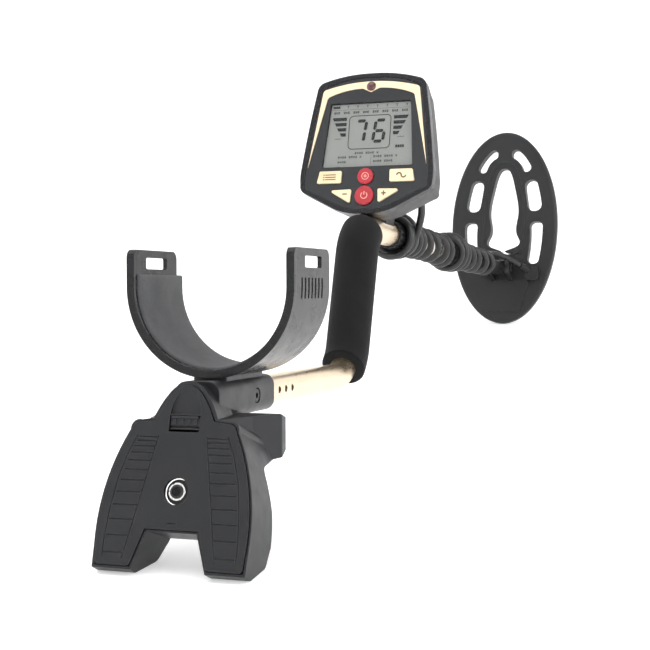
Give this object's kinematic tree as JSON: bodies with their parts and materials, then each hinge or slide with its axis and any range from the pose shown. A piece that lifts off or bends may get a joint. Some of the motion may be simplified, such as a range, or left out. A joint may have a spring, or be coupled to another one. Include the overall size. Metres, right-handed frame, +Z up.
{
  "type": "metal detector",
  "caption": "Hand-held metal detector: padded arm cup and battery pod, S-shaped handle tube, tilted display with keys, telescopic rod with wound cable, and a tilting search coil.",
  "frame": {"origin": "centre of the object's footprint on the ground, under the middle of its bounding box", "axes": "+Z up with the pod's feet and the coil's heel on the ground, +Y forward from the pod to the coil, +X to the user's right"},
  "size_m": [0.14, 1.0586, 0.3183],
  "materials": {
    "champagne": "satin anodised",
    "grip_foam": "matt closed-cell foam",
    "black_plastic": "fine grained",
    "pod_plastic": "fine grained",
    "cup_plastic": "matt, glossy rim",
    "pad_foam": "matt",
    "gloss_panel": "gloss printed panel",
    "trim_metal": "satin",
    "dark_red": "gloss",
    "key_champagne": "satin",
    "key_red": "satin",
    "clear_lens": "clear",
    "lcd": "liquid crystal panel",
    "board": "solder mask",
    "components": "moulded",
    "steel": "zinc plated",
    "nickel": "nickel plated",
    "bright_alloy": "satin anodised",
    "coil_plastic": "matt",
    "copper": "enamelled copper",
    "cell_wrap": "plain wrap",
    "black_rubber": "matt",
    "webbing": "hook and loop webbing"
  },
  "bodies": {
    "frame": {"s_tube": "champagne", "hand_grip": "grip_foam", "middle_tube": "bright_alloy", "display_bracket": "black_plastic", "bracket_screws": "steel", "rear_shell": "black_plastic", "shell_screws": "steel", "front_bezel": "black_plastic", "overlay": "gloss_panel", "arch_trim": "trim_metal", "trim_stud": "dark_red", "screen_lens": "clear_lens", "lcd_panel": "lcd", "backlight": "lcd", "circuit_board": "board", "key_switches": "components", "board_components": "components", "speaker": "components", "coil_socket": "nickel", "coil_plug": "black_plastic", "upper_bush": "black_plastic", "lower_bush": "black_plastic", "cable_lead": "black_rubber", "cable_turns_upper": "black_rubber", "cable_turns_middle": "black_rubber", "cable_turns_collar": "black_rubber"},
    "pod": {"battery_housing": "pod_plastic", "headphone_jack": "nickel", "jack_nut": "nickel", "jack_terminals": "steel", "battery_trays": "black_plastic", "battery_cells": "cell_wrap", "battery_contacts": "steel", "socket_screw": "steel", "arm_cup": "cup_plastic", "arm_pad": "pad_foam", "cup_screws": "steel"},
    "door": {"battery_door": "pod_plastic"},
    "latch": {"door_latch": "pod_plastic"},
    "upper_lock": {"upper_collar": "black_plastic"},
    "lower_lock": {"lower_collar": "black_plastic"},
    "rod": {"lower_rod": "black_plastic", "rod_tip": "black_plastic", "pivot_washers": "black_rubber", "cable_turns_lower": "black_rubber", "cable_strap": "webbing", "cable_tail": "black_rubber"},
    "coil": {"coil_shell": "coil_plastic", "coil_cover": "coil_plastic", "transmit_winding": "copper", "receive_winding": "copper", "strain_relief": "black_rubber", "pivot_bolt": "black_plastic"},
    "knob": {"pivot_knob": "black_plastic"},
    "menu_key": {"menu_key": "key_champagne"},
    "frequency_key": {"frequency_key": "key_champagne"},
    "minus_key": {"minus_key": "key_champagne"},
    "plus_key": {"plus_key": "key_champagne"},
    "pinpoint_key": {"pinpoint_key": "key_red"},
    "power_key": {"power_key": "key_red"}
  },
  "joints": [
    {"name": "armrest_slide", "type": "slide", "parent": "frame", "child": "pod", "axis": [0, 0.9902, -0.1397], "range_m": [0, 0.039]},
    {"name": "door_pull", "type": "slide", "parent": "pod", "child": "door", "axis": [0, -0.9053, 0.4247], "range_m": [0, 0.06]},
    {"name": "latch_press", "type": "slide", "parent": "door", "child": "latch", "axis": [0, -0.4247, -0.9053], "range_m": [0, 0.002], "stiffness_N_per_m": 400, "springref_m": -0.003},
    {"name": "upper_lock_twist", "type": "hinge", "parent": "frame", "child": "upper_lock", "pos_m": [0, -0.01839, 0.16497], "axis": [0, 0.9827, -0.1853], "range_deg": [0, 90]},
    {"name": "lower_lock_twist", "type": "hinge", "parent": "frame", "child": "lower_lock", "pos_m": [0, 0.18994, 0.12568], "axis": [0, 0.9827, -0.1853], "range_deg": [0, 90]},
    {"name": "rod_slide", "type": "slide", "parent": "frame", "child": "rod", "axis": [0, 0.9827, -0.1853], "range_m": [0, 0.16]},
    {"name": "coil_tilt", "type": "hinge", "parent": "rod", "child": "coil", "pos_m": [0, 0.45289, 0.07609], "axis": [-1, 0, 0], "range_deg": [-40, 90], "deforming": ["cable_tail"]},
    {"name": "knob_turn", "type": "hinge", "parent": "coil", "child": "knob", "pos_m": [0, 0.45289, 0.07609], "axis": [1, 0, 0], "continuous": true},
    {"name": "menu_press", "type": "slide", "parent": "frame", "child": "menu_key", "axis": [0, 0.9365, -0.3507], "range_m": [0, 0.0008], "stiffness_N_per_m": 300, "springref_m": -0.002},
    {"name": "frequency_press", "type": "slide", "parent": "frame", "child": "frequency_key", "axis": [0, 0.9365, -0.3507], "range_m": [0, 0.0008], "stiffness_N_per_m": 300, "springref_m": -0.002},
    {"name": "minus_press", "type": "slide", "parent": "frame", "child": "minus_key", "axis": [0, 0.9365, -0.3507], "range_m": [0, 0.0008], "stiffness_N_per_m": 300, "springref_m": -0.002},
    {"name": "plus_press", "type": "slide", "parent": "frame", "child": "plus_key", "axis": [0, 0.9365, -0.3507], "range_m": [0, 0.0008], "stiffness_N_per_m": 300, "springref_m": -0.002},
    {"name": "pinpoint_press", "type": "slide", "parent": "frame", "child": "pinpoint_key", "axis": [0, 0.9365, -0.3507], "range_m": [0, 0.0008], "stiffness_N_per_m": 300, "springref_m": -0.002},
    {"name": "power_press", "type": "slide", "parent": "frame", "child": "power_key", "axis": [0, 0.9365, -0.3507], "range_m": [0, 0.0008], "stiffness_N_per_m": 300, "springref_m": -0.002}
  ]
}
